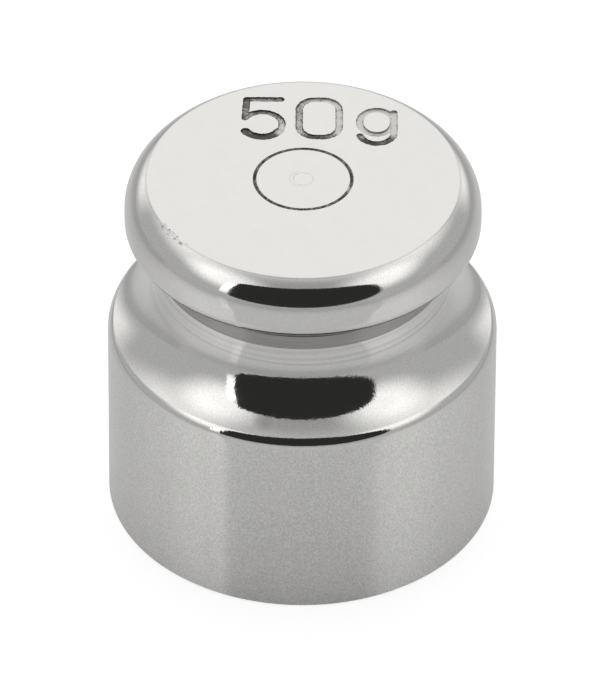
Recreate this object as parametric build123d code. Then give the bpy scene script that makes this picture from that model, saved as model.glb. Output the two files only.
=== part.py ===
from build123d import *
import math
import os

# Calibration weight, nominal mass 50 g, squat knob form. Millimetres, +Z up.
# The origin is the middle of the flat base, and the axis of the turning is Z.
# The weight is turned and faced from one bar of austenitic stainless steel. An adjusting cavity
# is drilled down from the top, holds a few pellets of adjusting shot, and is closed by a plug
# that is pressed in and faced flush. The nominal mass is engraved behind the plug.

# ---- Driving dimensions: barrel ----
barrel_diameter = 21.2
barrel_height = 11.68       # base to the sharp crease where the shoulder begins
base_edge_break = 0.12      # 45 degree break round the base
barrel_edge_radius = 0.9    # rounding at the top of the wall
barrel_edge_turn = 48.0     # degrees that the rounding turns before it meets the shoulder

# ---- Driving dimensions: shoulder, neck and knob ----
shoulder_radius = 5.05      # hollow of the shoulder, tangent to the neck
neck_length = 1.07          # straight part of the neck
knob_diameter = 19.32
knob_overhang = 1.7         # how far the knob stands out over the neck
knob_lower_radius = 0.95    # rounding under the rim
knob_band = 0.59            # straight part of the rim
knob_upper_radius = 2.29    # rounding over the rim
knob_upper_turn = 60.5      # degrees that it turns before the facing cuts it off

# ---- Driving dimensions: adjusting cavity, plug and shot ----
plug_diameter = 5.25
plug_thickness = 3.0
plug_edge_break = 0.1       # break on the plug and on its seat, which leave a fine V round it
plug_clearance = 0.01       # on the radius
cavity_diameter = 4.6
cavity_depth = 11.9         # plug seat to the end of the full diameter
drill_point_angle = 118.0
shot_diameter = 2.0
shot_clearance = 0.01       # between a pellet and what it rests on
ring_pellets = 3            # pellets side by side in the drill point

# ---- Driving dimensions: engraved nominal mass ----
# Sizes of the lettering run between the middles of the strokes.
stroke_width = 0.4
heavy_stroke_width = 0.54   # where the cutter bore down, at the foot of the five
engraving_depth = 0.08
digit_height = 3.28
five_bar_left = 0.79        # middle of the five to the left end of its bar
five_bar_right = 1.07       # and to its right end
five_bowl_radius = 1.08
five_bowl_shift = 0.06      # middle of the five to the middle of its bowl
zero_width = 2.17
zero_corner = 0.9
letter_bowl_width = 1.85
letter_bowl_height = 2.12
letter_bowl_lift = 0.27     # base line to the bottom of the bowl
letter_tail_radius = 0.94
letter_tail_lift = 0.4      # base line to the middle of the tail's arc
five_position = -2.3        # axis to the middle of each character, across
zero_position = 0.85
letter_position = 3.97
lettering_setback = 5.3     # axis to the middle of the digits

# ---- Derived sizes of the turned outline ----
barrel_radius = barrel_diameter / 2
knob_radius = knob_diameter / 2
neck_radius = knob_radius - knob_overhang
edge_turn = math.radians(barrel_edge_turn)
crease_radius = barrel_radius - barrel_edge_radius * (1 - math.cos(edge_turn))
wall_top = barrel_height - barrel_edge_radius * math.sin(edge_turn)
shoulder_turn = math.acos(1 - (crease_radius - neck_radius) / shoulder_radius)
neck_bottom = barrel_height + shoulder_radius * math.sin(shoulder_turn)
neck_top = neck_bottom + neck_length
neck_fillet_radius = knob_overhang - knob_lower_radius
knob_underside = neck_top + neck_fillet_radius
band_bottom = knob_underside + knob_lower_radius
band_top = band_bottom + knob_band
upper_turn = math.radians(knob_upper_turn)
weight_height = band_top + knob_upper_radius * math.sin(upper_turn)
top_radius = knob_radius - knob_upper_radius * (1 - math.cos(upper_turn))

# ---- Derived sizes of the cavity ----
seat_radius = plug_diameter / 2
plug_seat = weight_height - plug_thickness
cavity_radius = cavity_diameter / 2
cavity_bottom = plug_seat - cavity_depth
half_point = math.radians(drill_point_angle / 2)
point_bottom = cavity_bottom - cavity_radius / math.tan(half_point)


def turned_outline():
    """Half section of the turned blank, in the XZ plane."""
    edge_center = (barrel_radius - barrel_edge_radius, wall_top)
    shoulder_center = (neck_radius + shoulder_radius, neck_bottom)
    fillet_center = (neck_radius + neck_fillet_radius, neck_top)
    lower_center = (knob_radius - knob_lower_radius, band_bottom)
    upper_center = (knob_radius - knob_upper_radius, band_top)
    shoulder_start = 180 + math.degrees(shoulder_turn)
    with BuildSketch(Plane.XZ) as outline:
        with BuildLine():
            Line((0, 0), (barrel_radius - base_edge_break, 0))
            Line((barrel_radius - base_edge_break, 0), (barrel_radius, base_edge_break))
            Line((barrel_radius, base_edge_break), (barrel_radius, wall_top))
            CenterArc(edge_center, barrel_edge_radius, 0, barrel_edge_turn)
            CenterArc(shoulder_center, shoulder_radius, shoulder_start, 180 - shoulder_start)
            Line((neck_radius, neck_bottom), (neck_radius, neck_top))
            CenterArc(fillet_center, neck_fillet_radius, 180, -90)
            CenterArc(lower_center, knob_lower_radius, -90, 90)
            Line((knob_radius, band_bottom), (knob_radius, band_top))
            CenterArc(upper_center, knob_upper_radius, 0, knob_upper_turn)
            Line((top_radius, weight_height), (0, weight_height))
            Line((0, weight_height), (0, 0))
        make_face()
    return outline.sketch


def cavity_outline():
    """Half section of the drilled cavity with its plug seat, in the XZ plane."""
    points = [
        (0, weight_height),
        (seat_radius + plug_edge_break, weight_height),
        (seat_radius, weight_height - plug_edge_break),
        (seat_radius, plug_seat),
        (cavity_radius, plug_seat),
        (cavity_radius, cavity_bottom),
        (0, point_bottom),
    ]
    return Plane.XZ * Polygon(*points, align=None)


# ---- Lettering, drawn with a round cutter of one width ----
def straight_stroke(start, end):
    """Groove between two points, with the round ends that the cutter leaves."""
    middle = (Vector(start) + Vector(end)) / 2
    run = Vector(end) - Vector(start)
    turn = math.degrees(math.atan2(run.Y, run.X))
    return Pos(middle) * Rot(0, 0, turn) * SlotCenterToCenter(run.length, stroke_width)


def curved_stroke(center, radius, start_angle, end_angle, width):
    """Groove along an arc, with the round ends that the cutter leaves."""
    path = CenterArc(center, radius, start_angle, end_angle - start_angle)
    tip = Circle(width / 2)
    return trace(path, width) + Pos(path @ 0) * tip + Pos(path @ 1) * tip


def figure_five(center_x, base_y):
    """A top bar, a nearly upright stem and a round bowl that is cut heavier at its foot."""
    top = base_y + digit_height
    bar_left = (center_x - five_bar_left, top)
    bar_right = (center_x + five_bar_right, top)
    bowl_center = (center_x + five_bowl_shift, base_y + five_bowl_radius)
    bowl_start = 150.0
    heavy_start = -30.0
    bowl_end = -147.0
    stem_x = bowl_center[0] + five_bowl_radius * math.cos(math.radians(bowl_start))
    stem_y = bowl_center[1] + five_bowl_radius * math.sin(math.radians(bowl_start))
    return (
        straight_stroke(bar_left, bar_right)
        + straight_stroke(bar_left, (stem_x, stem_y))
        + curved_stroke(bowl_center, five_bowl_radius, bowl_start, heavy_start, stroke_width)
        + curved_stroke(bowl_center, five_bowl_radius, heavy_start, bowl_end, heavy_stroke_width)
    )


def figure_zero(center_x, base_y):
    """A tall ring with rounded corners."""
    outer = RectangleRounded(
        zero_width + stroke_width, digit_height + stroke_width, zero_corner + stroke_width / 2
    )
    inner = RectangleRounded(
        zero_width - stroke_width, digit_height - stroke_width, zero_corner - stroke_width / 2
    )
    return Pos(center_x, base_y + digit_height / 2) * (outer - inner)


def letter_g(center_x, base_y):
    """A round bowl with a stem on its right, which runs down into a hooked tail."""
    bowl_y = base_y + letter_bowl_lift + letter_bowl_height / 2
    outer = Ellipse((letter_bowl_width + stroke_width) / 2, (letter_bowl_height + stroke_width) / 2)
    inner = Ellipse((letter_bowl_width - stroke_width) / 2, (letter_bowl_height - stroke_width) / 2)
    stem_x = center_x + letter_tail_radius
    stem_top = bowl_y + (letter_bowl_height - stroke_width) / 2
    tail_y = base_y + letter_tail_lift
    tail_end = -164.0
    return (
        Pos(center_x, bowl_y) * (outer - inner)
        + straight_stroke((stem_x, stem_top), (stem_x, tail_y))
        + curved_stroke((center_x, tail_y), letter_tail_radius, 0, tail_end, stroke_width)
    )


def nominal_mass_lettering():
    """The nominal mass, 50 g, set behind the plug and read from the front."""
    base_y = lettering_setback - digit_height / 2
    return (
        figure_five(five_position, base_y)
        + figure_zero(zero_position, base_y)
        + letter_g(letter_position, base_y)
    )


# ---- Pieces ----
def weight_body():
    """The turned body, with its cavity drilled and its nominal mass engraved."""
    blank = revolve(turned_outline(), Axis.Z)
    cavity = revolve(cavity_outline(), Axis.Z)
    engraving = extrude(Pos(0, 0, weight_height) * nominal_mass_lettering(), -engraving_depth)
    return blank - cavity - engraving


def cavity_plug():
    """The plug, sitting on the ledge of its seat and flush with the top."""
    radius = seat_radius - plug_clearance
    plug = Pos(0, 0, plug_seat) * Cylinder(
        radius, plug_thickness, align=(Align.CENTER, Align.CENTER, Align.MIN)
    )
    upper_edge = plug.edges().sort_by(Axis.Z)[-1]
    return chamfer(upper_edge, plug_edge_break - plug_clearance)


def adjusting_shot():
    """A ring of pellets in the drill point, and one lying on top of them."""
    radius = shot_diameter / 2
    spacing = shot_diameter + shot_clearance
    pellet_turn = 2 * math.pi / ring_pellets
    ring_radius = spacing / 2 / math.sin(pellet_turn / 2)
    lift = (radius + shot_clearance + ring_radius * math.cos(half_point)) / math.sin(half_point)
    ring_height = point_bottom + lift
    pellets = []
    for index in range(ring_pellets):
        x = -ring_radius * math.sin(index * pellet_turn)
        y = ring_radius * math.cos(index * pellet_turn)
        pellets.append(Pos(x, y, ring_height) * Sphere(radius))
    top_height = ring_height + math.sqrt(spacing**2 - ring_radius**2)
    pellets.append(Pos(0, 0, top_height) * Sphere(radius))
    return Compound(children=pellets)


os.makedirs("parts", exist_ok=True)
export_step(weight_body(), "parts/weight_body.step")
export_step(cavity_plug(), "parts/cavity_plug.step")
export_step(adjusting_shot(), "parts/adjusting_shot.step")
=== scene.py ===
import math
import random

import bmesh
import bpy
from mathutils import Matrix, Vector


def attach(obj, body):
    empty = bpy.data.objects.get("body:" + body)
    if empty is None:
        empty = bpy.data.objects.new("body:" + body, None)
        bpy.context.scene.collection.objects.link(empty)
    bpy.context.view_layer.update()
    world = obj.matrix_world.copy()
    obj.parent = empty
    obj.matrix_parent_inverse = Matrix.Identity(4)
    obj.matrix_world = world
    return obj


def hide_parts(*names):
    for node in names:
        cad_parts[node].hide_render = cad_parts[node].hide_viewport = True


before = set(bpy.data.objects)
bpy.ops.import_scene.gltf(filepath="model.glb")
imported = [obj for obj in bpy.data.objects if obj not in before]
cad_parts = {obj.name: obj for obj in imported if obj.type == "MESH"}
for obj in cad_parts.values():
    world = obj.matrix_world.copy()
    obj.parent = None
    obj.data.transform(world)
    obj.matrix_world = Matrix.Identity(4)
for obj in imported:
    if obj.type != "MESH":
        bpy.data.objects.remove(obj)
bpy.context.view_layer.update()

# ---- Weight body -------------------------------------------------------------------------
# The weight itself, turned and faced from one bar of stainless steel. The wall is fine turned,
# the shoulder, neck and rim are polished, and the flat top is ground to a satin face. The
# adjusting cavity is drilled down from the top, and the nominal mass is engraved behind it.
MM = 0.001
BARREL_RADIUS = 10.6 * MM
BARREL_HEIGHT = 11.68 * MM
BASE_BREAK = 0.12 * MM
BARREL_EDGE_RADIUS = 0.9 * MM
BARREL_EDGE_TURN = math.radians(48.0)
SHOULDER_RADIUS = 5.05 * MM
NECK_LENGTH = 1.07 * MM
KNOB_RADIUS = 9.66 * MM
KNOB_OVERHANG = 1.7 * MM
KNOB_LOWER_RADIUS = 0.95 * MM
KNOB_BAND = 0.59 * MM
KNOB_UPPER_RADIUS = 2.29 * MM
KNOB_UPPER_TURN = math.radians(60.5)
PLUG_SEAT_RADIUS = 2.625 * MM
PLUG_THICKNESS = 3.0 * MM
PLUG_EDGE_BREAK = 0.1 * MM
CAVITY_RADIUS = 2.3 * MM
CAVITY_DEPTH = 11.9 * MM
DRILL_HALF_POINT = math.radians(59.0)

NECK_RADIUS = KNOB_RADIUS - KNOB_OVERHANG
NECK_FILLET = KNOB_OVERHANG - KNOB_LOWER_RADIUS
CREASE_RADIUS = BARREL_RADIUS - BARREL_EDGE_RADIUS * (1 - math.cos(BARREL_EDGE_TURN))
WALL_TOP = BARREL_HEIGHT - BARREL_EDGE_RADIUS * math.sin(BARREL_EDGE_TURN)
SHOULDER_TURN = math.acos(1 - (CREASE_RADIUS - NECK_RADIUS) / SHOULDER_RADIUS)
NECK_BOTTOM = BARREL_HEIGHT + SHOULDER_RADIUS * math.sin(SHOULDER_TURN)
NECK_TOP = NECK_BOTTOM + NECK_LENGTH
BAND_BOTTOM = NECK_TOP + NECK_FILLET + KNOB_LOWER_RADIUS
BAND_TOP = BAND_BOTTOM + KNOB_BAND
TOP_HEIGHT = BAND_TOP + KNOB_UPPER_RADIUS * math.sin(KNOB_UPPER_TURN)
TOP_RADIUS = KNOB_RADIUS - KNOB_UPPER_RADIUS * (1 - math.cos(KNOB_UPPER_TURN))
PLUG_SEAT_HEIGHT = TOP_HEIGHT - PLUG_THICKNESS

WALL, POLISHED, TURNED, FACED, FILLER_AND_SHADE, WORN, BORED, RING = range(8)
RIM_TURN = math.radians(-25.0)
LATHE_SEGMENTS = 288


def arc_stations(center, radius, start, end, steps):
    """Points along a turned radius, as (radius, height) pairs, both ends included."""
    angles = (start + (end - start) * step / steps for step in range(steps + 1))
    return [(center[0] + radius * math.cos(a), center[1] + radius * math.sin(a)) for a in angles]


def straight_stations(start, end, steps):
    """Points along a straight cut, both ends included."""
    shares = (step / steps for step in range(steps + 1))
    return [(start[0] + (end[0] - start[0]) * s, start[1] + (end[1] - start[1]) * s) for s in shares]


def turn_piece(name, cuts, segments=LATHE_SEGMENTS):
    """Turns a closed outline, given as (finish, stations) cuts that follow each other."""
    outline, finishes = [cuts[0][1][0]], []
    for finish, stations in cuts:
        outline += stations[1:]
        finishes += [finish] * (len(stations) - 1)
    shape = bmesh.new()
    rings = []
    for radius, height in outline:
        if radius == 0:
            rings.append([shape.verts.new((0, 0, height))])
            continue
        angles = (2 * math.pi * step / segments for step in range(segments))
        points = ((radius * math.cos(a), radius * math.sin(a), height) for a in angles)
        rings.append([shape.verts.new(point) for point in points])
    for lower, upper, finish in zip(rings, rings[1:], finishes):
        for step in range(segments):
            after = (step + 1) % segments
            corners = [lower[step % len(lower)], lower[after % len(lower)]]
            corners += [upper[after % len(upper)], upper[step % len(upper)]]
            face = shape.faces.new(list(dict.fromkeys(corners)))
            face.material_index = finish
    bmesh.ops.recalc_face_normals(shape, faces=shape.faces)
    mesh = bpy.data.meshes.new(name)
    shape.to_mesh(mesh)
    shape.free()
    piece = bpy.data.objects.new(name, mesh)
    bpy.context.scene.collection.objects.link(piece)
    return piece


def body_cuts():
    """The outline from the middle of the base, up the outside and down into the cavity."""
    edge_center = (BARREL_RADIUS - BARREL_EDGE_RADIUS, WALL_TOP)
    shoulder_center = (NECK_RADIUS + SHOULDER_RADIUS, NECK_BOTTOM)
    fillet_center = (NECK_RADIUS + NECK_FILLET, NECK_TOP)
    lower_center = (KNOB_RADIUS - KNOB_LOWER_RADIUS, BAND_BOTTOM)
    upper_center = (KNOB_RADIUS - KNOB_UPPER_RADIUS, BAND_TOP)
    base_edge = (BARREL_RADIUS - BASE_BREAK, 0)
    wall_foot = (BARREL_RADIUS, BASE_BREAK)
    wall_head = (BARREL_RADIUS, WALL_TOP)
    neck_foot = (NECK_RADIUS, NECK_BOTTOM)
    neck_head = (NECK_RADIUS, NECK_TOP)
    rim = (KNOB_RADIUS, BAND_TOP)
    top_edge = (TOP_RADIUS, TOP_HEIGHT)
    seat_break = (PLUG_SEAT_RADIUS + PLUG_EDGE_BREAK, TOP_HEIGHT)
    seat_edge = (PLUG_SEAT_RADIUS, TOP_HEIGHT - PLUG_EDGE_BREAK)
    seat_foot = (PLUG_SEAT_RADIUS, PLUG_SEAT_HEIGHT)
    ledge = (CAVITY_RADIUS, PLUG_SEAT_HEIGHT)
    cavity_foot = (CAVITY_RADIUS, PLUG_SEAT_HEIGHT - CAVITY_DEPTH)
    point = (0, cavity_foot[1] - CAVITY_RADIUS / math.tan(DRILL_HALF_POINT))
    half_turn = math.pi
    shoulder_start = half_turn + SHOULDER_TURN
    return [
        (FACED, straight_stations((0, 0), base_edge, 4)),
        (WALL, straight_stations(base_edge, wall_foot, 1)),
        (WALL, straight_stations(wall_foot, wall_head, 6)),
        (POLISHED, arc_stations(edge_center, BARREL_EDGE_RADIUS, 0, BARREL_EDGE_TURN, 16)),
        (POLISHED, arc_stations(shoulder_center, SHOULDER_RADIUS, shoulder_start, half_turn, 40)),
        # The neck and the knob's underside take the darkened finish that paints the shade under the
        # knob.
        (TURNED, straight_stations(neck_foot, neck_head, 2)),
        (TURNED, arc_stations(fillet_center, NECK_FILLET, half_turn, half_turn / 2, 16)),
        (TURNED, arc_stations(lower_center, KNOB_LOWER_RADIUS, -half_turn / 2, RIM_TURN, 16)),
        (POLISHED, arc_stations(lower_center, KNOB_LOWER_RADIUS, RIM_TURN, 0, 8)),
        (POLISHED, straight_stations((KNOB_RADIUS, BAND_BOTTOM), rim, 1)),
        (POLISHED, arc_stations(upper_center, KNOB_UPPER_RADIUS, 0, KNOB_UPPER_TURN, 32)),
        (FACED, straight_stations(top_edge, seat_break, 1)),
        (RING, straight_stations(seat_break, seat_edge, 1)),
        (BORED, straight_stations(seat_edge, seat_foot, 1)),
        (BORED, straight_stations(seat_foot, ledge, 1)),
        (BORED, straight_stations(ledge, cavity_foot, 1)),
        (BORED, straight_stations(cavity_foot, point, 1)),
    ]


# The nominal mass is cut with a small round cutter, so strokes have round, slightly ragged
# edges, and the foot of the 5 is wider, where it bore down. Black filler lies in the cuts, and
# the middle is rubbed bare in places. The edge lanes and walls of each cut stay darker: black
# filler, and painted shade of the recess.
STROKE_WIDTH = 0.4 * MM
HEAVY_STROKE_WIDTH = 0.54 * MM
ENGRAVING_DEPTH = 0.08 * MM
DIGIT_HEIGHT = 3.28 * MM
FIVE_BAR_LEFT = 0.79 * MM
FIVE_BAR_RIGHT = 1.07 * MM
FIVE_BOWL_RADIUS = 1.08 * MM
FIVE_BOWL_SHIFT = 0.06 * MM
FIVE_BOWL_START = math.radians(150.0)
FIVE_HEAVY_START = math.radians(-30.0)
FIVE_BOWL_END = math.radians(-147.0)
ZERO_WIDTH = 2.17 * MM
ZERO_CORNER = 0.9 * MM
LETTER_BOWL_WIDTH = 1.85 * MM
LETTER_BOWL_HEIGHT = 2.12 * MM
LETTER_BOWL_LIFT = 0.27 * MM
LETTER_TAIL_RADIUS = 0.94 * MM
LETTER_TAIL_LIFT = 0.4 * MM
LETTER_TAIL_END = math.radians(-164.0)
FIVE_POSITION = -2.3 * MM
ZERO_POSITION = 0.85 * MM
LETTER_POSITION = 3.97 * MM
LETTERING_SETBACK = 5.3 * MM
CUTTER_STEP = 0.06 * MM
CUTTER_WANDER = 0.018 * MM
CUTTER_SINK = 0.002 * MM
CUTTER_SEED = 50
CUTTER_END_STEPS = 8
UPRIGHT_FACE = 0.5
FILLER_SHADE_EDGE = 0.07 * MM


def arc_path(center, radii, start, end):
    """Points of the cutter's path along an arc or a part of an ellipse."""
    steps = max(2, round(abs(end - start) * max(radii) / CUTTER_STEP))
    middle, reach = Vector(center), Vector(radii)
    angles = (start + (end - start) * step / steps for step in range(steps + 1))
    return [middle + reach * Vector((math.cos(a), math.sin(a))) for a in angles]


def line_path(start, end):
    """Points of the cutter's path along a straight stroke."""
    start, end = Vector(start), Vector(end)
    steps = max(2, round((end - start).length / CUTTER_STEP))
    return [start.lerp(end, step / steps) for step in range(steps + 1)]


def ring_path(center, width, height, corner):
    """Closed path of the cutter round a rounded box, each corner once."""
    points = []
    for index, (side_x, side_y) in enumerate(((1, 1), (-1, 1), (-1, -1), (1, -1))):
        middle = (center[0] + side_x * (width / 2 - corner), center[1] + side_y * (height / 2 - corner))
        start = index * math.pi / 2
        points += arc_path(middle, (corner, corner), start, start + math.pi / 2)
        onward = (index + 1) * math.pi / 2
        length = (height if index % 2 else width) - 2 * corner
        step_out = Vector((-math.sin(onward), math.cos(onward)))
        points += line_path(points[-1], points[-1] + step_out * length)[1:-1]
    return points


def stroke_paths():
    """The strokes of the 5, the 0 and the g: path, whether it is closed, and width."""
    base = LETTERING_SETBACK - DIGIT_HEIGHT / 2
    bar_y = base + DIGIT_HEIGHT
    bar_left = (FIVE_POSITION - FIVE_BAR_LEFT, bar_y)
    bar = line_path(bar_left, (FIVE_POSITION + FIVE_BAR_RIGHT, bar_y))
    bowl = (FIVE_POSITION + FIVE_BOWL_SHIFT, base + FIVE_BOWL_RADIUS)
    bowl_radii = (FIVE_BOWL_RADIUS, FIVE_BOWL_RADIUS)
    bowl_top = arc_path(bowl, bowl_radii, FIVE_BOWL_START, FIVE_HEAVY_START)
    bowl_foot = arc_path(bowl, bowl_radii, FIVE_HEAVY_START, FIVE_BOWL_END)
    zero = ring_path((ZERO_POSITION, LETTERING_SETBACK), ZERO_WIDTH, DIGIT_HEIGHT, ZERO_CORNER)
    letter_bowl = (LETTER_POSITION, base + LETTER_BOWL_LIFT + LETTER_BOWL_HEIGHT / 2)
    letter_radii = (LETTER_BOWL_WIDTH / 2, LETTER_BOWL_HEIGHT / 2)
    letter_ring = arc_path(letter_bowl, letter_radii, 0, 2 * math.pi)[:-1]
    tail_radii = (LETTER_TAIL_RADIUS, LETTER_TAIL_RADIUS)
    tail = arc_path((LETTER_POSITION, base + LETTER_TAIL_LIFT), tail_radii, 0, LETTER_TAIL_END)
    stem_top = (tail[0].x, letter_bowl[1] + (LETTER_BOWL_HEIGHT - STROKE_WIDTH) / 2)
    return [
        (bar, False, STROKE_WIDTH),
        (line_path(bar_left, bowl_top[0]), False, STROKE_WIDTH),
        (bowl_top, False, STROKE_WIDTH),
        (bowl_foot, False, HEAVY_STROKE_WIDTH),
        (zero, True, STROKE_WIDTH),
        (letter_ring, True, STROKE_WIDTH),
        (line_path(stem_top, tail[0]) + tail[1:], False, STROKE_WIDTH),
    ]


def stroke_stations(path, closed, width, wander):
    """Four points across the cut at every step: its sides, and the edges of its bare middle."""
    count = len(path)
    stations = []
    for index, point in enumerate(path):
        before = path[index - 1] if closed or index else point
        after = path[(index + 1) % count] if closed or index < count - 1 else point
        along = (after - before).normalized()
        across = Vector((-along.y, along.x))
        left = width / 2 + wander.uniform(-1, 1) * CUTTER_WANDER
        right = -width / 2 + wander.uniform(-1, 1) * CUTTER_WANDER
        reaches = (left, left - FILLER_SHADE_EDGE, right + FILLER_SHADE_EDGE, right)
        stations.append([point + across * reach for reach in reaches])
    return stations


def round_end(point, away, width):
    """Points of the half circle that the cutter leaves at an end, from its right to its left."""
    start = math.atan2(away.y, away.x) - math.pi / 2
    angles = (start + math.pi * step / CUTTER_END_STEPS for step in range(1, CUTTER_END_STEPS))
    return [point + Vector((math.cos(a), math.sin(a))) * width / 2 for a in angles]


def stroke_cutter(path, closed, width, floor, wander):
    """A solid as wide as the stroke, from above the top down to the floor of the cut."""
    shape = bmesh.new()
    stations = stroke_stations(path, closed, width, wander)
    rows = [[shape.verts.new((*point, floor)) for point in station] for station in stations]
    for step in range(0 if closed else 1, len(rows)):
        before, here = rows[step - 1], rows[step]
        for lane, finish in enumerate((FILLER_AND_SHADE, WORN, FILLER_AND_SHADE)):
            corners = (before[lane], here[lane], here[lane + 1], before[lane + 1])
            shape.faces.new(corners).material_index = finish
    if not closed:
        far_end = round_end(path[-1], path[-1] - path[-2], width)
        near_end = round_end(path[0], path[0] - path[1], width)
        for row, end in ((rows[-1][::-1], far_end), (rows[0], near_end)):
            tip = [shape.verts.new((*point, floor)) for point in end]
            shape.faces.new([row[0], *tip, row[3], row[2], row[1]]).material_index = FILLER_AND_SHADE
    raised = bmesh.ops.extrude_face_region(shape, geom=list(shape.faces))
    roof = [item for item in raised["geom"] if isinstance(item, bmesh.types.BMVert)]
    bmesh.ops.translate(shape, verts=roof, vec=(0, 0, TOP_HEIGHT + ENGRAVING_DEPTH - floor))
    bmesh.ops.recalc_face_normals(shape, faces=shape.faces)
    # The walls of each cut take the dark edge finish: black filler, and painted shade of the recess.
    for face in shape.faces:
        if abs(face.normal.z) < UPRIGHT_FACE:
            face.material_index = FILLER_AND_SHADE
    mesh = bpy.data.meshes.new("stroke_cutter")
    shape.to_mesh(mesh)
    shape.free()
    cutter = bpy.data.objects.new("stroke_cutter", mesh)
    bpy.context.scene.collection.objects.link(cutter)
    return cutter


def engrave(piece):
    """Cuts the strokes out of the top, one after the other, and clears the cutters away."""
    wander = random.Random(CUTTER_SEED)
    floor = TOP_HEIGHT - ENGRAVING_DEPTH
    for path, closed, width in stroke_paths():
        cutter = stroke_cutter(path, closed, width, floor, wander)
        floor -= CUTTER_SINK
        cut = piece.modifiers.new("engraving", "BOOLEAN")
        cut.operation = "DIFFERENCE"
        cut.solver = "MANIFOLD"
        cut.object = cutter
        cut.material_mode = "INDEX"
        graph = bpy.context.evaluated_depsgraph_get()
        engraved = bpy.data.meshes.new_from_object(piece.evaluated_get(graph))
        piece.modifiers.clear()
        piece.data = engraved
        bpy.data.objects.remove(cutter)


SHARP_ANGLE = math.radians(7.0)


def smooth_between_creases(piece):
    """Turned radii shade smoothly, and every crease between two cuts stays sharp."""
    piece.data.shade_smooth()
    piece.data.set_sharp_from_angle(angle=SHARP_ANGLE)


class Finish:
    """A surface finish built from nodes, with short ways to add and join them."""

    def __init__(self, name):
        self.material = bpy.data.materials.new(name)
        self.material.use_nodes = True
        self.nodes = self.material.node_tree.nodes
        self.links = self.material.node_tree.links
        self.steel = self.nodes["Principled BSDF"]

    def join(self, value, socket):
        """Links an output to a socket, or sets a plain value on it."""
        if isinstance(value, bpy.types.NodeSocket):
            self.links.new(value, socket)
        else:
            socket.default_value = value

    def math(self, operation, first, second=0.0):
        node = self.nodes.new("ShaderNodeMath")
        node.operation = operation
        self.join(first, node.inputs[0])
        self.join(second, node.inputs[1])
        return node.outputs[0]

    def plus(self, first, second):
        return self.math("ADD", first, second)

    def minus(self, first, second):
        return self.math("SUBTRACT", first, second)

    def times(self, first, second):
        return self.math("MULTIPLY", first, second)

    def place(self):
        """Where a point lies on the weight, in metres from the middle of its base."""
        return self.nodes.new("ShaderNodeTexCoord").outputs["Object"]

    def parts(self, vector):
        node = self.nodes.new("ShaderNodeSeparateXYZ")
        self.links.new(vector, node.inputs[0])
        return node.outputs

    def vector(self, x, y, z):
        node = self.nodes.new("ShaderNodeCombineXYZ")
        for value, socket in zip((x, y, z), node.inputs):
            self.join(value, socket)
        return node.outputs[0]

    def length(self, x, y):
        """How far a point lies from the axis, across it."""
        return self.math("SQRT", self.plus(self.times(x, x), self.times(y, y)))

    def noise(self, vector, size, detail=2.0):
        """Noise whose blotches are about as wide as the size given, in metres."""
        node = self.nodes.new("ShaderNodeTexNoise")
        self.links.new(vector, node.inputs["Vector"])
        node.inputs["Scale"].default_value = 1 / size
        node.inputs["Detail"].default_value = detail
        return node.outputs["Fac"]

    def spread(self, value, low, high, out_low, out_high):
        """Maps a range of values onto another one, smoothly and held at its ends."""
        node = self.nodes.new("ShaderNodeMapRange")
        node.interpolation_type = "SMOOTHSTEP"
        for number, socket in zip((value, low, high, out_low, out_high), node.inputs):
            self.join(number, socket)
        return node.outputs[0]

    def spot(self, middle, near, far):
        """One inside the near distance from a point, none beyond the far one."""
        node = self.nodes.new("ShaderNodeVectorMath")
        node.operation = "DISTANCE"
        self.links.new(self.place(), node.inputs[0])
        node.inputs[1].default_value = middle
        return self.spread(node.outputs["Value"], near, far, 1.0, 0.0)

    def blend(self, share, first, second):
        """A colour between two others."""
        node = self.nodes.new("ShaderNodeMix")
        node.data_type = "RGBA"
        self.join(share, node.inputs["Factor"])
        self.join(first, node.inputs["A"])
        self.join(second, node.inputs["B"])
        return node.outputs["Result"]

    def bump(self, height, distance):
        node = self.nodes.new("ShaderNodeBump")
        self.links.new(height, node.inputs["Height"])
        node.inputs["Distance"].default_value = distance
        return node.outputs["Normal"]

    def turning_grain(self, across, round_the_axis):
        """Noise drawn out round the axis, as a cutting edge leaves it."""
        x, y, z = self.parts(self.place())
        along = self.times(self.math("ARCTAN2", y, x), BARREL_RADIUS * across / round_the_axis)
        return self.noise(self.vector(self.length(x, y), along, z), across, GRAIN_DETAIL)

    def dress(self, tone, roughness, metallic=1.0):
        """Puts a colour and a gloss on the steel, and hands back the material."""
        self.join(tone, self.steel.inputs["Base Color"])
        self.join(roughness, self.steel.inputs["Roughness"])
        self.join(metallic, self.steel.inputs["Metallic"])
        return self.material


NOISE_MIDDLE = (0.3, 0.7)
NOISE_MEAN = 0.5
GRAIN_DETAIL = 3.0
PLAIN_DETAIL = 1.0
STEEL_LIGHT = (0.785, 0.780, 0.765, 1)
STEEL_DEEP = (0.745, 0.740, 0.728, 1)
WALL_LIGHT = (0.855, 0.850, 0.835, 1)
WALL_DEEP = (0.685, 0.680, 0.668, 1)
WALL_GRAIN = (0.05 * MM, 1.5 * MM)
WALL_FLECK = 0.09 * MM
WALL_FLECK_RANGE = (0.38, 0.62)
WALL_MOTTLE = 0.5 * MM
WALL_ROUGHNESS = (0.13, 0.17)
WALL_RELIEF = 0.0004 * MM
DRAWN_OUT = 0.85
DRAWN_UPRIGHT = 0.25


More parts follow.
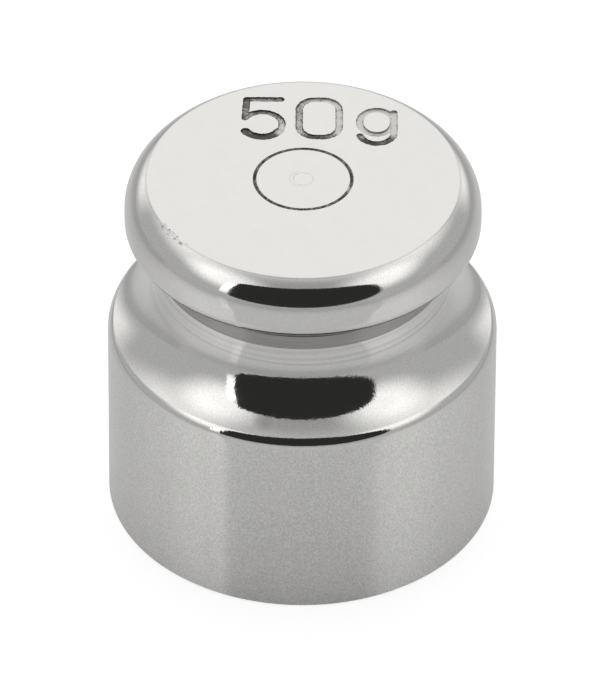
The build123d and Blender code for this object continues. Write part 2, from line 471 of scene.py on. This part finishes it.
def fine_turned_steel():
    """The wall: fine turned, so reflections are drawn out up and down but crisp round it."""
    finish = Finish("fine_turned_steel")
    grain = finish.turning_grain(*WALL_GRAIN)
    fleck = finish.noise(finish.place(), WALL_FLECK)
    mottle = finish.noise(finish.place(), WALL_MOTTLE)
    tone = finish.blend(finish.spread(fleck, *WALL_FLECK_RANGE, 0.0, 1.0), WALL_DEEP, WALL_LIGHT)
    finish.join(finish.bump(grain, WALL_RELIEF), finish.steel.inputs["Normal"])
    finish.steel.inputs["Anisotropic"].default_value = DRAWN_OUT
    finish.steel.inputs["Anisotropic Rotation"].default_value = DRAWN_UPRIGHT
    tangent = finish.nodes.new("ShaderNodeTangent")
    tangent.direction_type = "RADIAL"
    tangent.axis = "Z"
    finish.join(tangent.outputs[0], finish.steel.inputs["Tangent"])
    return finish.dress(tone, finish.spread(mottle, *NOISE_MIDDLE, *WALL_ROUGHNESS))


# A painted shade line round the crease between the flat top and the rim's rounding; the nicks that
# follow are real handling marks.
CREASE_SHADE_WIDTH = 0.07 * MM
CREASE_SHADE_SHARE = 0.22
CREASE_SHADE_CORE = 0.5 * CREASE_SHADE_WIDTH
CREASE_SHADE_FOOT = TOP_HEIGHT - 3 * CREASE_SHADE_WIDTH
CREASE_SHADE_HEAD = TOP_HEIGHT - 2 * CREASE_SHADE_WIDTH
NICKED_EDGE = (-7.0 * MM, -4.9 * MM, TOP_HEIGHT)
NICKED_REACH = (0.5 * MM, 1.6 * MM)
NICK_WIDTH = 0.2 * MM
NICK_CORE = 0.4 * NICK_WIDTH
NICK_SIZE = 0.3 * MM
NICK_RANGE = (0.46, 0.62)
CREASE_SHADE_AND_NICK_GREY = (0.24, 0.235, 0.23, 1)


def crease_shade_and_nicks(finish):
    """A fine painted shade line round the crease at the edge of the top, and small dark nicks from
    handling in one place.
    """
    place = finish.place()
    x, y, z = finish.parts(place)
    offset = finish.math("ABSOLUTE", finish.minus(finish.length(x, y), TOP_RADIUS))
    at_top = finish.spread(z, CREASE_SHADE_FOOT, CREASE_SHADE_HEAD, 0.0, 1.0)
    # Painted shade: a thin dark line just on the crease.
    crease_shade = finish.spread(offset, CREASE_SHADE_CORE, CREASE_SHADE_WIDTH, CREASE_SHADE_SHARE, 0.0)
    on_edge = finish.spread(offset, NICK_CORE, NICK_WIDTH, 1.0, 0.0)
    near = finish.spot(NICKED_EDGE, *NICKED_REACH)
    speckle = finish.spread(finish.noise(place, NICK_SIZE, PLAIN_DETAIL), *NICK_RANGE, 0.0, 1.0)
    nicks = finish.times(speckle, finish.times(on_edge, near))
    return finish.math("MAXIMUM", finish.times(crease_shade, at_top), nicks)


POLISH_LIGHT = (0.835, 0.830, 0.815, 1)
POLISH_DEEP = (0.695, 0.690, 0.678, 1)
POLISH_FLECK = 0.09 * MM
POLISH_FLECK_RANGE = (0.05, 0.95)
POLISH_MOTTLE = 0.6 * MM
POLISH_ROUGHNESS = (0.05, 0.075)
POLISH_RIPPLE = 0.14 * MM
POLISH_GRAIN = (0.18 * MM, 6.0 * MM)
POLISH_GRAIN_SHARE = 0.3
POLISH_RELIEF = 0.002 * MM
RIM_RELIEF_SHARE = 0.4
BUFFING_RINGS = (0.22 * MM, 60.0 * MM)
BUFFING_RANGE = (0.47, 0.63)
BUFFING_SHARE = 0.38
BUFFING_FOOT = NECK_BOTTOM - 2.2 * MM
BUFFING_HEAD = NECK_BOTTOM - 1.2 * MM
# A soft darker spot on the shoulder, below the knob.
SHOULDER_DARK_SPOT = (-2.1 * MM, -9.4 * MM, 12.2 * MM)
SHOULDER_DARK_SPOT_REACH = (0.1 * MM, 0.75 * MM)
SHOULDER_DARK_SPOT_SHARE = 0.6
SHOULDER_MARK_GREY = (0.45, 0.44, 0.43, 1)


def buffing_rings(finish, height):
    """Faint grey rings on the upper shoulder, where the buff doesn't quite reach."""
    rings = finish.spread(finish.turning_grain(*BUFFING_RINGS), *BUFFING_RANGE, 0.0, BUFFING_SHARE)
    on_shoulder = finish.spread(height, BUFFING_FOOT, BUFFING_HEAD, 0.0, 1.0)
    below_knob = finish.spread(height, NECK_BOTTOM, NECK_TOP, 1.0, 0.0)
    return finish.times(rings, finish.times(on_shoulder, below_knob))


def polished_steel():
    """The rim, shoulder and edges: buffed bright, with the faint ripple that buffing leaves."""
    finish = Finish("polished_steel")
    place = finish.place()
    height = finish.parts(place)[2]
    fleck = finish.noise(place, POLISH_FLECK)
    mottle = finish.noise(place, POLISH_MOTTLE)
    tone = finish.blend(finish.spread(fleck, *POLISH_FLECK_RANGE, 0.0, 1.0), POLISH_DEEP, POLISH_LIGHT)
    tone = finish.blend(buffing_rings(finish, height), tone, SHOULDER_MARK_GREY)
    dark_spot = finish.times(finish.spot(SHOULDER_DARK_SPOT, *SHOULDER_DARK_SPOT_REACH), SHOULDER_DARK_SPOT_SHARE)
    tone = finish.blend(dark_spot, tone, SHOULDER_MARK_GREY)
    # Painted shade on the crease, and real nicks, over the polish.
    tone = finish.blend(crease_shade_and_nicks(finish), tone, CREASE_SHADE_AND_NICK_GREY)
    ripple = finish.noise(place, POLISH_RIPPLE, PLAIN_DETAIL)
    relief = finish.plus(ripple, finish.times(finish.turning_grain(*POLISH_GRAIN), POLISH_GRAIN_SHARE))
    relief = finish.times(relief, finish.spread(height, NECK_TOP, BAND_BOTTOM, 1.0, RIM_RELIEF_SHARE))
    finish.join(finish.bump(relief, POLISH_RELIEF), finish.steel.inputs["Normal"])
    return finish.dress(tone, finish.spread(mottle, *NOISE_MIDDLE, *POLISH_ROUGHNESS))


# Neck tones, darkened to paint the shade that falls under the knob; the grain between them is the real
# finish.
NECK_SHADED_LIGHT = (0.46, 0.455, 0.445, 1)
NECK_SHADED_DEEP = (0.28, 0.277, 0.27, 1)
NECK_GRAIN = (0.07 * MM, 5.0 * MM)
NECK_ROUGHNESS = (0.16, 0.22)
NECK_RELIEF = 0.002 * MM
# Painted shade: a dark band at the top of the neck, just under the knob's edge.
UNDER_KNOB_SHADE = (0.12, 0.118, 0.114, 1)
UNDER_KNOB_SHADE_HEAD = NECK_TOP - 0.2 * MM
UNDER_KNOB_SHADE_FOOT = UNDER_KNOB_SHADE_HEAD - 0.05 * MM


def dull_turned_steel_painted_shade():
    """The neck and the knob's underside: left as turned, its tone darkened as painted shade under the
    knob, darkest just below the knob's edge.
    """
    finish = Finish("dull_turned_steel_painted_shade")
    grain = finish.turning_grain(*NECK_GRAIN)
    height = finish.parts(finish.place())[2]
    # Painted shade under the knob: the tone darkens towards the top of the neck.
    under_knob_shade = finish.spread(height, UNDER_KNOB_SHADE_FOOT, UNDER_KNOB_SHADE_HEAD, 0.0, 1.0)
    tone = finish.blend(under_knob_shade, finish.blend(grain, NECK_SHADED_DEEP, NECK_SHADED_LIGHT), UNDER_KNOB_SHADE)
    finish.join(finish.bump(grain, NECK_RELIEF), finish.steel.inputs["Normal"])
    return finish.dress(tone, finish.spread(grain, *NOISE_MIDDLE, *NECK_ROUGHNESS))


FACED_MOTTLE = 0.8 * MM
FACED_ROUGHNESS = (0.295, 0.305)


def satin_faced_steel():
    """The flat top: faced and lapped to an even satin."""
    finish = Finish("satin_faced_steel")
    mottle = finish.noise(finish.place(), FACED_MOTTLE)
    tone = finish.blend(mottle, STEEL_DEEP, STEEL_LIGHT)
    # Painted shade on the crease, and real nicks, over the satin.
    tone = finish.blend(crease_shade_and_nicks(finish), tone, CREASE_SHADE_AND_NICK_GREY)
    return finish.dress(tone, finish.spread(mottle, *NOISE_MIDDLE, *FACED_ROUGHNESS))


FILLER_BLACK = (0.052, 0.048, 0.043, 1)
FILLER_SPECKLE = 0.10 * MM
FILLER_SPECKLE_WEIGHT = 1.6
FILLER_BLOTCH = 0.45 * MM
FILLER_BLOTCH_WEIGHT = 1.1
FILLER_ROUGHNESS = (0.4, 0.6)
FILLER_RELIEF = 0.01 * MM
FILLER_LEFT = -3.0 * MM
FILLER_RIGHT = 3.5 * MM
FILLED_FOOT = (3.3 * MM, 4.3 * MM)
RUBBED_GREY = (0.66, 0.65, 0.63, 1)
RUBBED_METAL = 0.9
RUBBED_SHARE = 0.6
RUBBED_RING = (2.52 * MM, -0.85 * MM, TOP_HEIGHT)
RUBBED_RING_REACH = (0.12 * MM, 0.4 * MM)
RUBBED_FIVE = (-1.1 * MM, 4.35 * MM, TOP_HEIGHT)
RUBBED_FIVE_REACH = (0.2 * MM, 0.7 * MM)


def cut_steel(name, bare_left, bare_right, filled_foot):
    """Inside the cuts: black filler, rubbed through to bare metal more and more to the right."""
    finish = Finish(name)
    place = finish.place()
    x, y = finish.parts(place)[:2]
    speckle = finish.noise(place, FILLER_SPECKLE, GRAIN_DETAIL)
    blotch = finish.noise(place, FILLER_BLOTCH, PLAIN_DETAIL)
    bare = finish.spread(x, FILLER_LEFT, FILLER_RIGHT, bare_left, bare_right)
    foot = finish.spread(y, *FILLED_FOOT, filled_foot, 0.0)
    rubbed_ring = finish.spot(RUBBED_RING, *RUBBED_RING_REACH)
    rubbed_five = finish.spot(RUBBED_FIVE, *RUBBED_FIVE_REACH)
    rubbed = finish.math("MAXIMUM", rubbed_ring, rubbed_five)
    level = finish.minus(finish.plus(bare, finish.times(rubbed, RUBBED_SHARE)), foot)
    level = finish.plus(level, finish.times(finish.minus(speckle, NOISE_MEAN), FILLER_SPECKLE_WEIGHT))
    level = finish.plus(level, finish.times(finish.minus(blotch, NOISE_MEAN), FILLER_BLOTCH_WEIGHT))
    worn = finish.spread(level, 0.0, 1.0, 0.0, 1.0)
    tone = finish.blend(worn, FILLER_BLACK, RUBBED_GREY)
    finish.join(finish.bump(speckle, FILLER_RELIEF), finish.steel.inputs["Normal"])
    metal = finish.spread(worn, 0.0, 1.0, 0.0, RUBBED_METAL)
    return finish.dress(tone, finish.spread(speckle, *NOISE_MIDDLE, *FILLER_ROUGHNESS), metal)


BORE_DEEP = (0.45, 0.44, 0.42, 1)
BORE_GRAIN = (0.12 * MM, 4.0 * MM)
BORE_ROUGHNESS = (0.35, 0.5)
BORE_RELIEF = 0.01 * MM


def bored_steel():
    """Inside the cavity: a drilled surface with coarse rings, dull with dried cutting oil."""
    finish = Finish("bored_steel")
    grain = finish.turning_grain(*BORE_GRAIN)
    finish.join(finish.bump(grain, BORE_RELIEF), finish.steel.inputs["Normal"])
    tone = finish.blend(grain, BORE_DEEP, STEEL_DEEP)
    return finish.dress(tone, finish.spread(grain, *NOISE_MIDDLE, *BORE_ROUGHNESS))


# How bare the cuts are at the left and at the right, and how full they stay at the foot.
# Edges: black filler, kept darker as painted shade along the walls of the cut.
EDGE_FILL_AND_SHADE = (0.1, 0.7, 0.4)
MIDDLE_FILL = (0.35, 1.1, 1.1)
RING_FILL = (0.26, 0.28, 0.0)

finishes = [
    fine_turned_steel(), polished_steel(), dull_turned_steel_painted_shade(), satin_faced_steel(),
    cut_steel("black_filler_and_shade", *EDGE_FILL_AND_SHADE), cut_steel("rubbed_cut", *MIDDLE_FILL), bored_steel(),
    cut_steel("ring_filler", *RING_FILL),
]
weight_body = turn_piece("weight_body_turned", body_cuts())
for finish in finishes:
    weight_body.data.materials.append(finish)
engrave(weight_body)
smooth_between_creases(weight_body)
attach(weight_body, "root")
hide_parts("weight_body")

# ---- Cavity plug -------------------------------------------------------------------------
# A short stainless pin pressed into the mouth of the cavity and faced off with the top. Its
# broken edge and the seat's leave a fine V groove, where black filler lodges. The facing tool
# leaves small rings where it runs out in the middle.
PLUG_CLEARANCE = 0.01 * MM
PLUG_RADIUS = PLUG_SEAT_RADIUS - PLUG_CLEARANCE
PLUG_CHAMFER = PLUG_EDGE_BREAK - PLUG_CLEARANCE
PLUG_FACE, PLUG_SIDE, PLUG_GROOVE = range(3)


def plug_cuts():
    """The outline of the plug from the middle of its foot to the middle of its face."""
    foot = (PLUG_RADIUS, PLUG_SEAT_HEIGHT)
    shoulder = (PLUG_RADIUS, TOP_HEIGHT - PLUG_CHAMFER)
    face_edge = (PLUG_RADIUS - PLUG_CHAMFER, TOP_HEIGHT)
    return [
        (PLUG_SIDE, straight_stations((0, PLUG_SEAT_HEIGHT), foot, 2)),
        (PLUG_SIDE, straight_stations(foot, shoulder, 3)),
        (PLUG_GROOVE, straight_stations(shoulder, face_edge, 1)),
        (PLUG_FACE, straight_stations(face_edge, (0, TOP_HEIGHT), 4)),
    ]


TOOL_RING_RADIUS = 0.54 * MM
TOOL_RING_WIDTH = 0.05 * MM
STRAY_RING_RADIUS = 0.66 * MM
STRAY_RING_SHIFT = -0.08 * MM
STRAY_RING_END = (-0.35 * MM, -0.15 * MM)
STRAY_RING_SHARE = 0.7
RING_BREAKS = 0.25 * MM
RING_BREAKS_RANGE = (0.35, 0.6)
RING_SHARES = (0.25, 0.75)
RING_BROWN = (0.50, 0.46, 0.42, 1)


def tool_ring(finish, x, y, shift, radius):
    """A hair-fine ring on the face, as a share between none and one."""
    offset = finish.minus(finish.length(finish.minus(x, shift), y), radius)
    return finish.spread(finish.math("ABSOLUTE", offset), 0.0, TOOL_RING_WIDTH, 1.0, 0.0)


def plug_face_steel():
    """The plug's face: the same satin, with two faint rings where the facing tool ran out."""
    finish = Finish("plug_face_steel")
    place = finish.place()
    x, y = finish.parts(place)[:2]
    mottle = finish.noise(place, FACED_MOTTLE)
    ring = tool_ring(finish, x, y, 0.0, TOOL_RING_RADIUS)
    stray = tool_ring(finish, x, y, STRAY_RING_SHIFT, STRAY_RING_RADIUS)
    stray = finish.times(stray, finish.spread(x, *STRAY_RING_END, STRAY_RING_SHARE, 0.0))
    breaks = finish.spread(finish.noise(place, RING_BREAKS), *RING_BREAKS_RANGE, *RING_SHARES)
    marks = finish.times(finish.math("MAXIMUM", ring, stray), breaks)
    tone = finish.blend(marks, finish.blend(mottle, STEEL_DEEP, STEEL_LIGHT), RING_BROWN)
    return finish.dress(tone, finish.spread(mottle, *NOISE_MIDDLE, *FACED_ROUGHNESS))


cavity_plug = turn_piece("cavity_plug_turned", plug_cuts())
for finish in (plug_face_steel(), finishes[BORED], finishes[RING]):
    cavity_plug.data.materials.append(finish)
smooth_between_creases(cavity_plug)
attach(cavity_plug, "root")
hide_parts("cavity_plug")

# ---- Adjusting shot ----------------------------------------------------------------------
# Loose steel pellets in the drill point of the cavity, added or taken out until the weight is
# right. They are drop-formed and a little dull.
SHOT_LIGHT = (0.55, 0.55, 0.54, 1)
SHOT_DEEP = (0.3, 0.3, 0.3, 1)
SHOT_DIMPLE = 0.25 * MM
SHOT_ROUGHNESS = (0.3, 0.5)
SHOT_RELIEF = 0.01 * MM


def shot_steel():
    """Dull round pellets with a slightly dimpled skin."""
    finish = Finish("shot_steel")
    dimples = finish.noise(finish.place(), SHOT_DIMPLE)
    finish.join(finish.bump(dimples, SHOT_RELIEF), finish.steel.inputs["Normal"])
    tone = finish.blend(dimples, SHOT_DEEP, SHOT_LIGHT)
    return finish.dress(tone, finish.spread(dimples, *NOISE_MIDDLE, *SHOT_ROUGHNESS))


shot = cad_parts["adjusting_shot"]
for place in shot.material_slots:
    place.material = shot_steel()

# ---- Studio: floor, light tent and camera ------------------------------------------------
# The weight stands on a smooth white board in a soft light tent. The tent is open at the front,
# where the camera looks in, and two lamps outside it make a bright patch on either side.
BOARD_RADIUS = 3.0
BOARD_SEGMENTS = 96
BOARD_MATTE = (0.82, 0.82, 0.82, 1)
BOARD_GLOW = 1.36
BOARD_GLOW_SHARE = 0.6
BOARD_SHEEN_SHARE = 0.15
BOARD_SHEEN_ROUGHNESS = 0.065
# Board colours seen in the steel: a painted lit tone near the front, and painted shade behind and far
# off.
BOARD_PAINTED_LIT = (0.92, 0.92, 0.92, 1)
BOARD_PAINTED_SHADE = (0.57, 0.57, 0.57, 1)
BOARD_BEHIND = (-20 * MM, 15 * MM)
BOARD_BEHIND_WEIGHT = 0.45
BOARD_FAR = (30 * MM, 160 * MM)
BOARD_FAR_WEIGHT = 0.75


def shader_mix(finish, share, first, second):
    """A shader between two others."""
    node = finish.nodes.new("ShaderNodeMixShader")
    finish.join(share, node.inputs[0])
    finish.join(first, node.inputs[1])
    finish.join(second, node.inputs[2])
    return node.outputs[0]


def white_board():
    """Smooth white board. Seen straight it is white with a soft shadow; in steel it is glossy, and its
    colour there is painted shade, darker behind the weight and far from it.
    """
    finish = Finish("white_board")
    finish.nodes.remove(finish.steel)
    # Painted shade: the board darkens behind the weight and far from it, for the uneven light of the
    # tent.
    behind = finish.spread(finish.parts(finish.place())[1], *BOARD_BEHIND, 0.0, BOARD_BEHIND_WEIGHT)
    far = finish.minus(1.0, finish.spot((0, 0, 0), *BOARD_FAR))
    shade = finish.plus(behind, finish.times(far, BOARD_FAR_WEIGHT))
    shaded = finish.nodes.new("ShaderNodeBsdfDiffuse")
    finish.join(finish.blend(shade, BOARD_PAINTED_LIT, BOARD_PAINTED_SHADE), shaded.inputs["Color"])
    sheen = finish.nodes.new("ShaderNodeBsdfGlossy")
    sheen.inputs["Roughness"].default_value = BOARD_SHEEN_ROUGHNESS
    glossy = shader_mix(finish, BOARD_SHEEN_SHARE, shaded.outputs[0], sheen.outputs[0])
    matte = finish.nodes.new("ShaderNodeBsdfDiffuse")
    matte.inputs["Color"].default_value = BOARD_MATTE
    glow = finish.nodes.new("ShaderNodeEmission")
    glow.inputs["Strength"].default_value = BOARD_GLOW
    lit = shader_mix(finish, BOARD_GLOW_SHARE, matte.outputs[0], glow.outputs[0])
    straight = finish.nodes.new("ShaderNodeLightPath").outputs["Is Camera Ray"]
    seen = shader_mix(finish, straight, glossy, lit)
    finish.join(seen, finish.nodes["Material Output"].inputs["Surface"])
    return finish.material


board_cuts = [(0, straight_stations((0, 0), (BOARD_RADIUS, 0), 2))]
board = turn_piece("white_board", board_cuts, BOARD_SEGMENTS)
board.data.materials.append(white_board())


# The tent's cloth, by direction from the weight: x to the right, y to the back and z up.
WALL_GREY = 0.49
CEILING_GREY = 0.38
CEILING_FADE = (-0.55, 0.35)
CEILING_RISE = (0.35, 0.85)
BACK_WHITE = 1.05
BACK_FADE = (0.5, 0.79)
BACK_LEAN = 0.02
BACK_FOOT_GREY = 0.48
BACK_FOOT_FADE = (-0.02, 0.24)
CLOTH_WHITE = (1.0, 0.998, 0.99, 1)
PLAIN_WHITE = (1, 1, 1, 1)
# Each glow's azimuth from the front, elevation and reach in degrees, and its strength.
SIDE_GLOWS = (
    (-57, 39, 30, 0.77), (58, 39, 31, 0.75),
    (-88, 45, 26, 0.14), (92, 50, 26, 0.12),
)
GLOW_CORE = math.radians(6.0)
# The opening and the lamp strip at its left, on an upright plane one unit in front.
FRONT_LEAST = 0.001
OPENING_LEFT, OPENING_RIGHT = -1.0, 1.16
OPENING_LOW, OPENING_HIGH = 0.01, 1.30
OPENING_SAG = 0.06
OPENING_DARK = 0.028
SQUARENESS_ACROSS = (-0.5, 0.5)
SQUARENESS = (12.0, 3.3)
SOFTNESS_ACROSS = (-0.9, 0.9)
SOFTNESS = (0.08, 0.2)
STRIP_LEFT = (-1.24, -1.18)
STRIP_RIGHT = (-1.01, -0.98)
STRIP_FOOT = (0.12, 0.3)
STRIP_HEAD = (0.9, 1.12)
STRIP_STRENGTH = 0.8


class Tent(Finish):
    """The tent as the world round the weight, drawn by direction with the same node helpers."""

    def __init__(self):
        world = bpy.data.worlds.new("light_tent")
        world.use_nodes = True
        bpy.context.scene.world = world
        self.nodes = world.node_tree.nodes
        self.links = world.node_tree.links

    def glow_round(self, direction, azimuth, elevation, reach, strength):
        """A soft round patch of light about one direction, in degrees."""
        a, e = math.radians(azimuth), math.radians(elevation)
        toward = (math.sin(a) * math.cos(e), -math.cos(a) * math.cos(e), math.sin(e))
        node = self.nodes.new("ShaderNodeVectorMath")
        node.operation = "DOT_PRODUCT"
        self.links.new(direction, node.inputs[0])
        node.inputs[1].default_value = toward
        angle = self.math("ARCCOSINE", node.outputs["Value"])
        return self.spread(angle, GLOW_CORE, math.radians(reach), strength, 0.0)

    def between(self, share, first, second):
        """A level between two others."""
        return self.plus(first, self.times(share, self.minus(second, first)))


def tent_cloth(tent, direction):
    """Grey sides that lighten to a white back, a grey ceiling and the glows of the side lamps."""
    x, y, z = tent.parts(direction)
    ceiling = tent.spread(y, *CEILING_FADE, CEILING_GREY, BACK_WHITE)
    back = tent.spread(tent.minus(y, tent.times(x, BACK_LEAN)), *BACK_FADE, 0.0, 1.0)
    back_level = tent.spread(z, *BACK_FOOT_FADE, BACK_FOOT_GREY, BACK_WHITE)
    side = tent.between(back, WALL_GREY, back_level)
    cloth = tent.between(tent.spread(z, *CEILING_RISE, 0.0, 1.0), side, ceiling)
    for glow in SIDE_GLOWS:
        cloth = tent.plus(cloth, tent.glow_round(direction, *glow))
    return cloth


def front_opening(tent, across, up):
    """The dark opening, one inside: square at the left, rounder and softer at the right."""
    low = tent.plus(tent.times(tent.times(across, across), OPENING_SAG), OPENING_LOW)
    middle_x = (OPENING_LEFT + OPENING_RIGHT) / 2
    half_x = (OPENING_RIGHT - OPENING_LEFT) / 2
    middle_z = tent.times(tent.plus(low, OPENING_HIGH), 0.5)
    half_z = tent.times(tent.minus(OPENING_HIGH, low), 0.5)
    share_x = tent.math("DIVIDE", tent.math("ABSOLUTE", tent.minus(across, middle_x)), half_x)
    share_z = tent.math("DIVIDE", tent.math("ABSOLUTE", tent.minus(up, middle_z)), half_z)
    power = tent.spread(across, *SQUARENESS_ACROSS, *SQUARENESS)
    reach = tent.plus(tent.math("POWER", share_x, power), tent.math("POWER", share_z, power))
    softness = tent.spread(across, *SOFTNESS_ACROSS, *SOFTNESS)
    return tent.spread(reach, tent.minus(1.0, softness), tent.plus(1.0, softness), 1.0, 0.0)


def lamp_strip(tent, across, up):
    """The narrow bright strip of lamplight along the left edge of the opening."""
    sides = tent.times(
        tent.spread(across, *STRIP_LEFT, 0.0, 1.0), tent.spread(across, *STRIP_RIGHT, 1.0, 0.0))
    ends = tent.times(tent.spread(up, *STRIP_FOOT, 0.0, 1.0), tent.spread(up, *STRIP_HEAD, 1.0, 0.0))
    return tent.times(tent.times(sides, ends), STRIP_STRENGTH)


def light_tent():
    """The tent lights the weight and shows in its steel. Straight on, it is plain white."""
    tent = Tent()
    direction = tent.nodes.new("ShaderNodeTexCoord").outputs["Generated"]
    x, y, z = tent.parts(direction)
    depth = tent.math("MAXIMUM", tent.times(y, -1.0), FRONT_LEAST)
    across = tent.math("DIVIDE", x, depth)
    up = tent.math("DIVIDE", z, depth)
    cloth = tent.plus(tent_cloth(tent, direction), lamp_strip(tent, across, up))
    level = tent.between(front_opening(tent, across, up), cloth, OPENING_DARK)
    lit = tent.nodes["Background"]
    lit.inputs["Color"].default_value = CLOTH_WHITE
    tent.join(level, lit.inputs["Strength"])
    plain = tent.nodes.new("ShaderNodeBackground")
    plain.inputs["Color"].default_value = PLAIN_WHITE
    straight = tent.nodes.new("ShaderNodeLightPath").outputs["Is Camera Ray"]
    seen = shader_mix(tent, straight, lit.outputs[0], plain.outputs[0])
    tent.join(seen, tent.nodes["World Output"].inputs["Surface"])


light_tent()

CAMERA_ELEVATION = math.radians(39.32)
CAMERA_DISTANCE = 595 * MM
CAMERA_ROLL = math.radians(0.353)
CAMERA_AIM = (0.261 * MM, 0.958 * MM)
CAMERA_RANGE = (10 * MM, 10.0)
SENSOR_WIDTH = 36.0
VIEW_HEIGHT = 38.19 * MM


def make_camera():
    """Long lens from the front and above, level but for a slight roll."""
    forward = Vector((0, math.cos(CAMERA_ELEVATION), -math.sin(CAMERA_ELEVATION)))
    right = Vector((1, 0, 0))
    up = right.cross(forward)
    target = Vector((0, 0, BARREL_RADIUS))
    place = target - forward * CAMERA_DISTANCE
    aim = target + right * CAMERA_AIM[0] - up * CAMERA_AIM[1]
    data = bpy.data.cameras.new("camera")
    data.sensor_width = SENSOR_WIDTH
    data.lens = SENSOR_WIDTH * CAMERA_DISTANCE / VIEW_HEIGHT
    data.clip_start, data.clip_end = CAMERA_RANGE
    camera = bpy.data.objects.new("camera", data)
    bpy.context.scene.collection.objects.link(camera)
    turn = (aim - place).to_track_quat("-Z", "Y").to_matrix().to_4x4()
    camera.matrix_world = Matrix.Translation(place) @ turn @ Matrix.Rotation(CAMERA_ROLL, 4, "Z")
    bpy.context.scene.camera = camera


make_camera()
bpy.context.scene.view_settings.view_transform = "Standard"
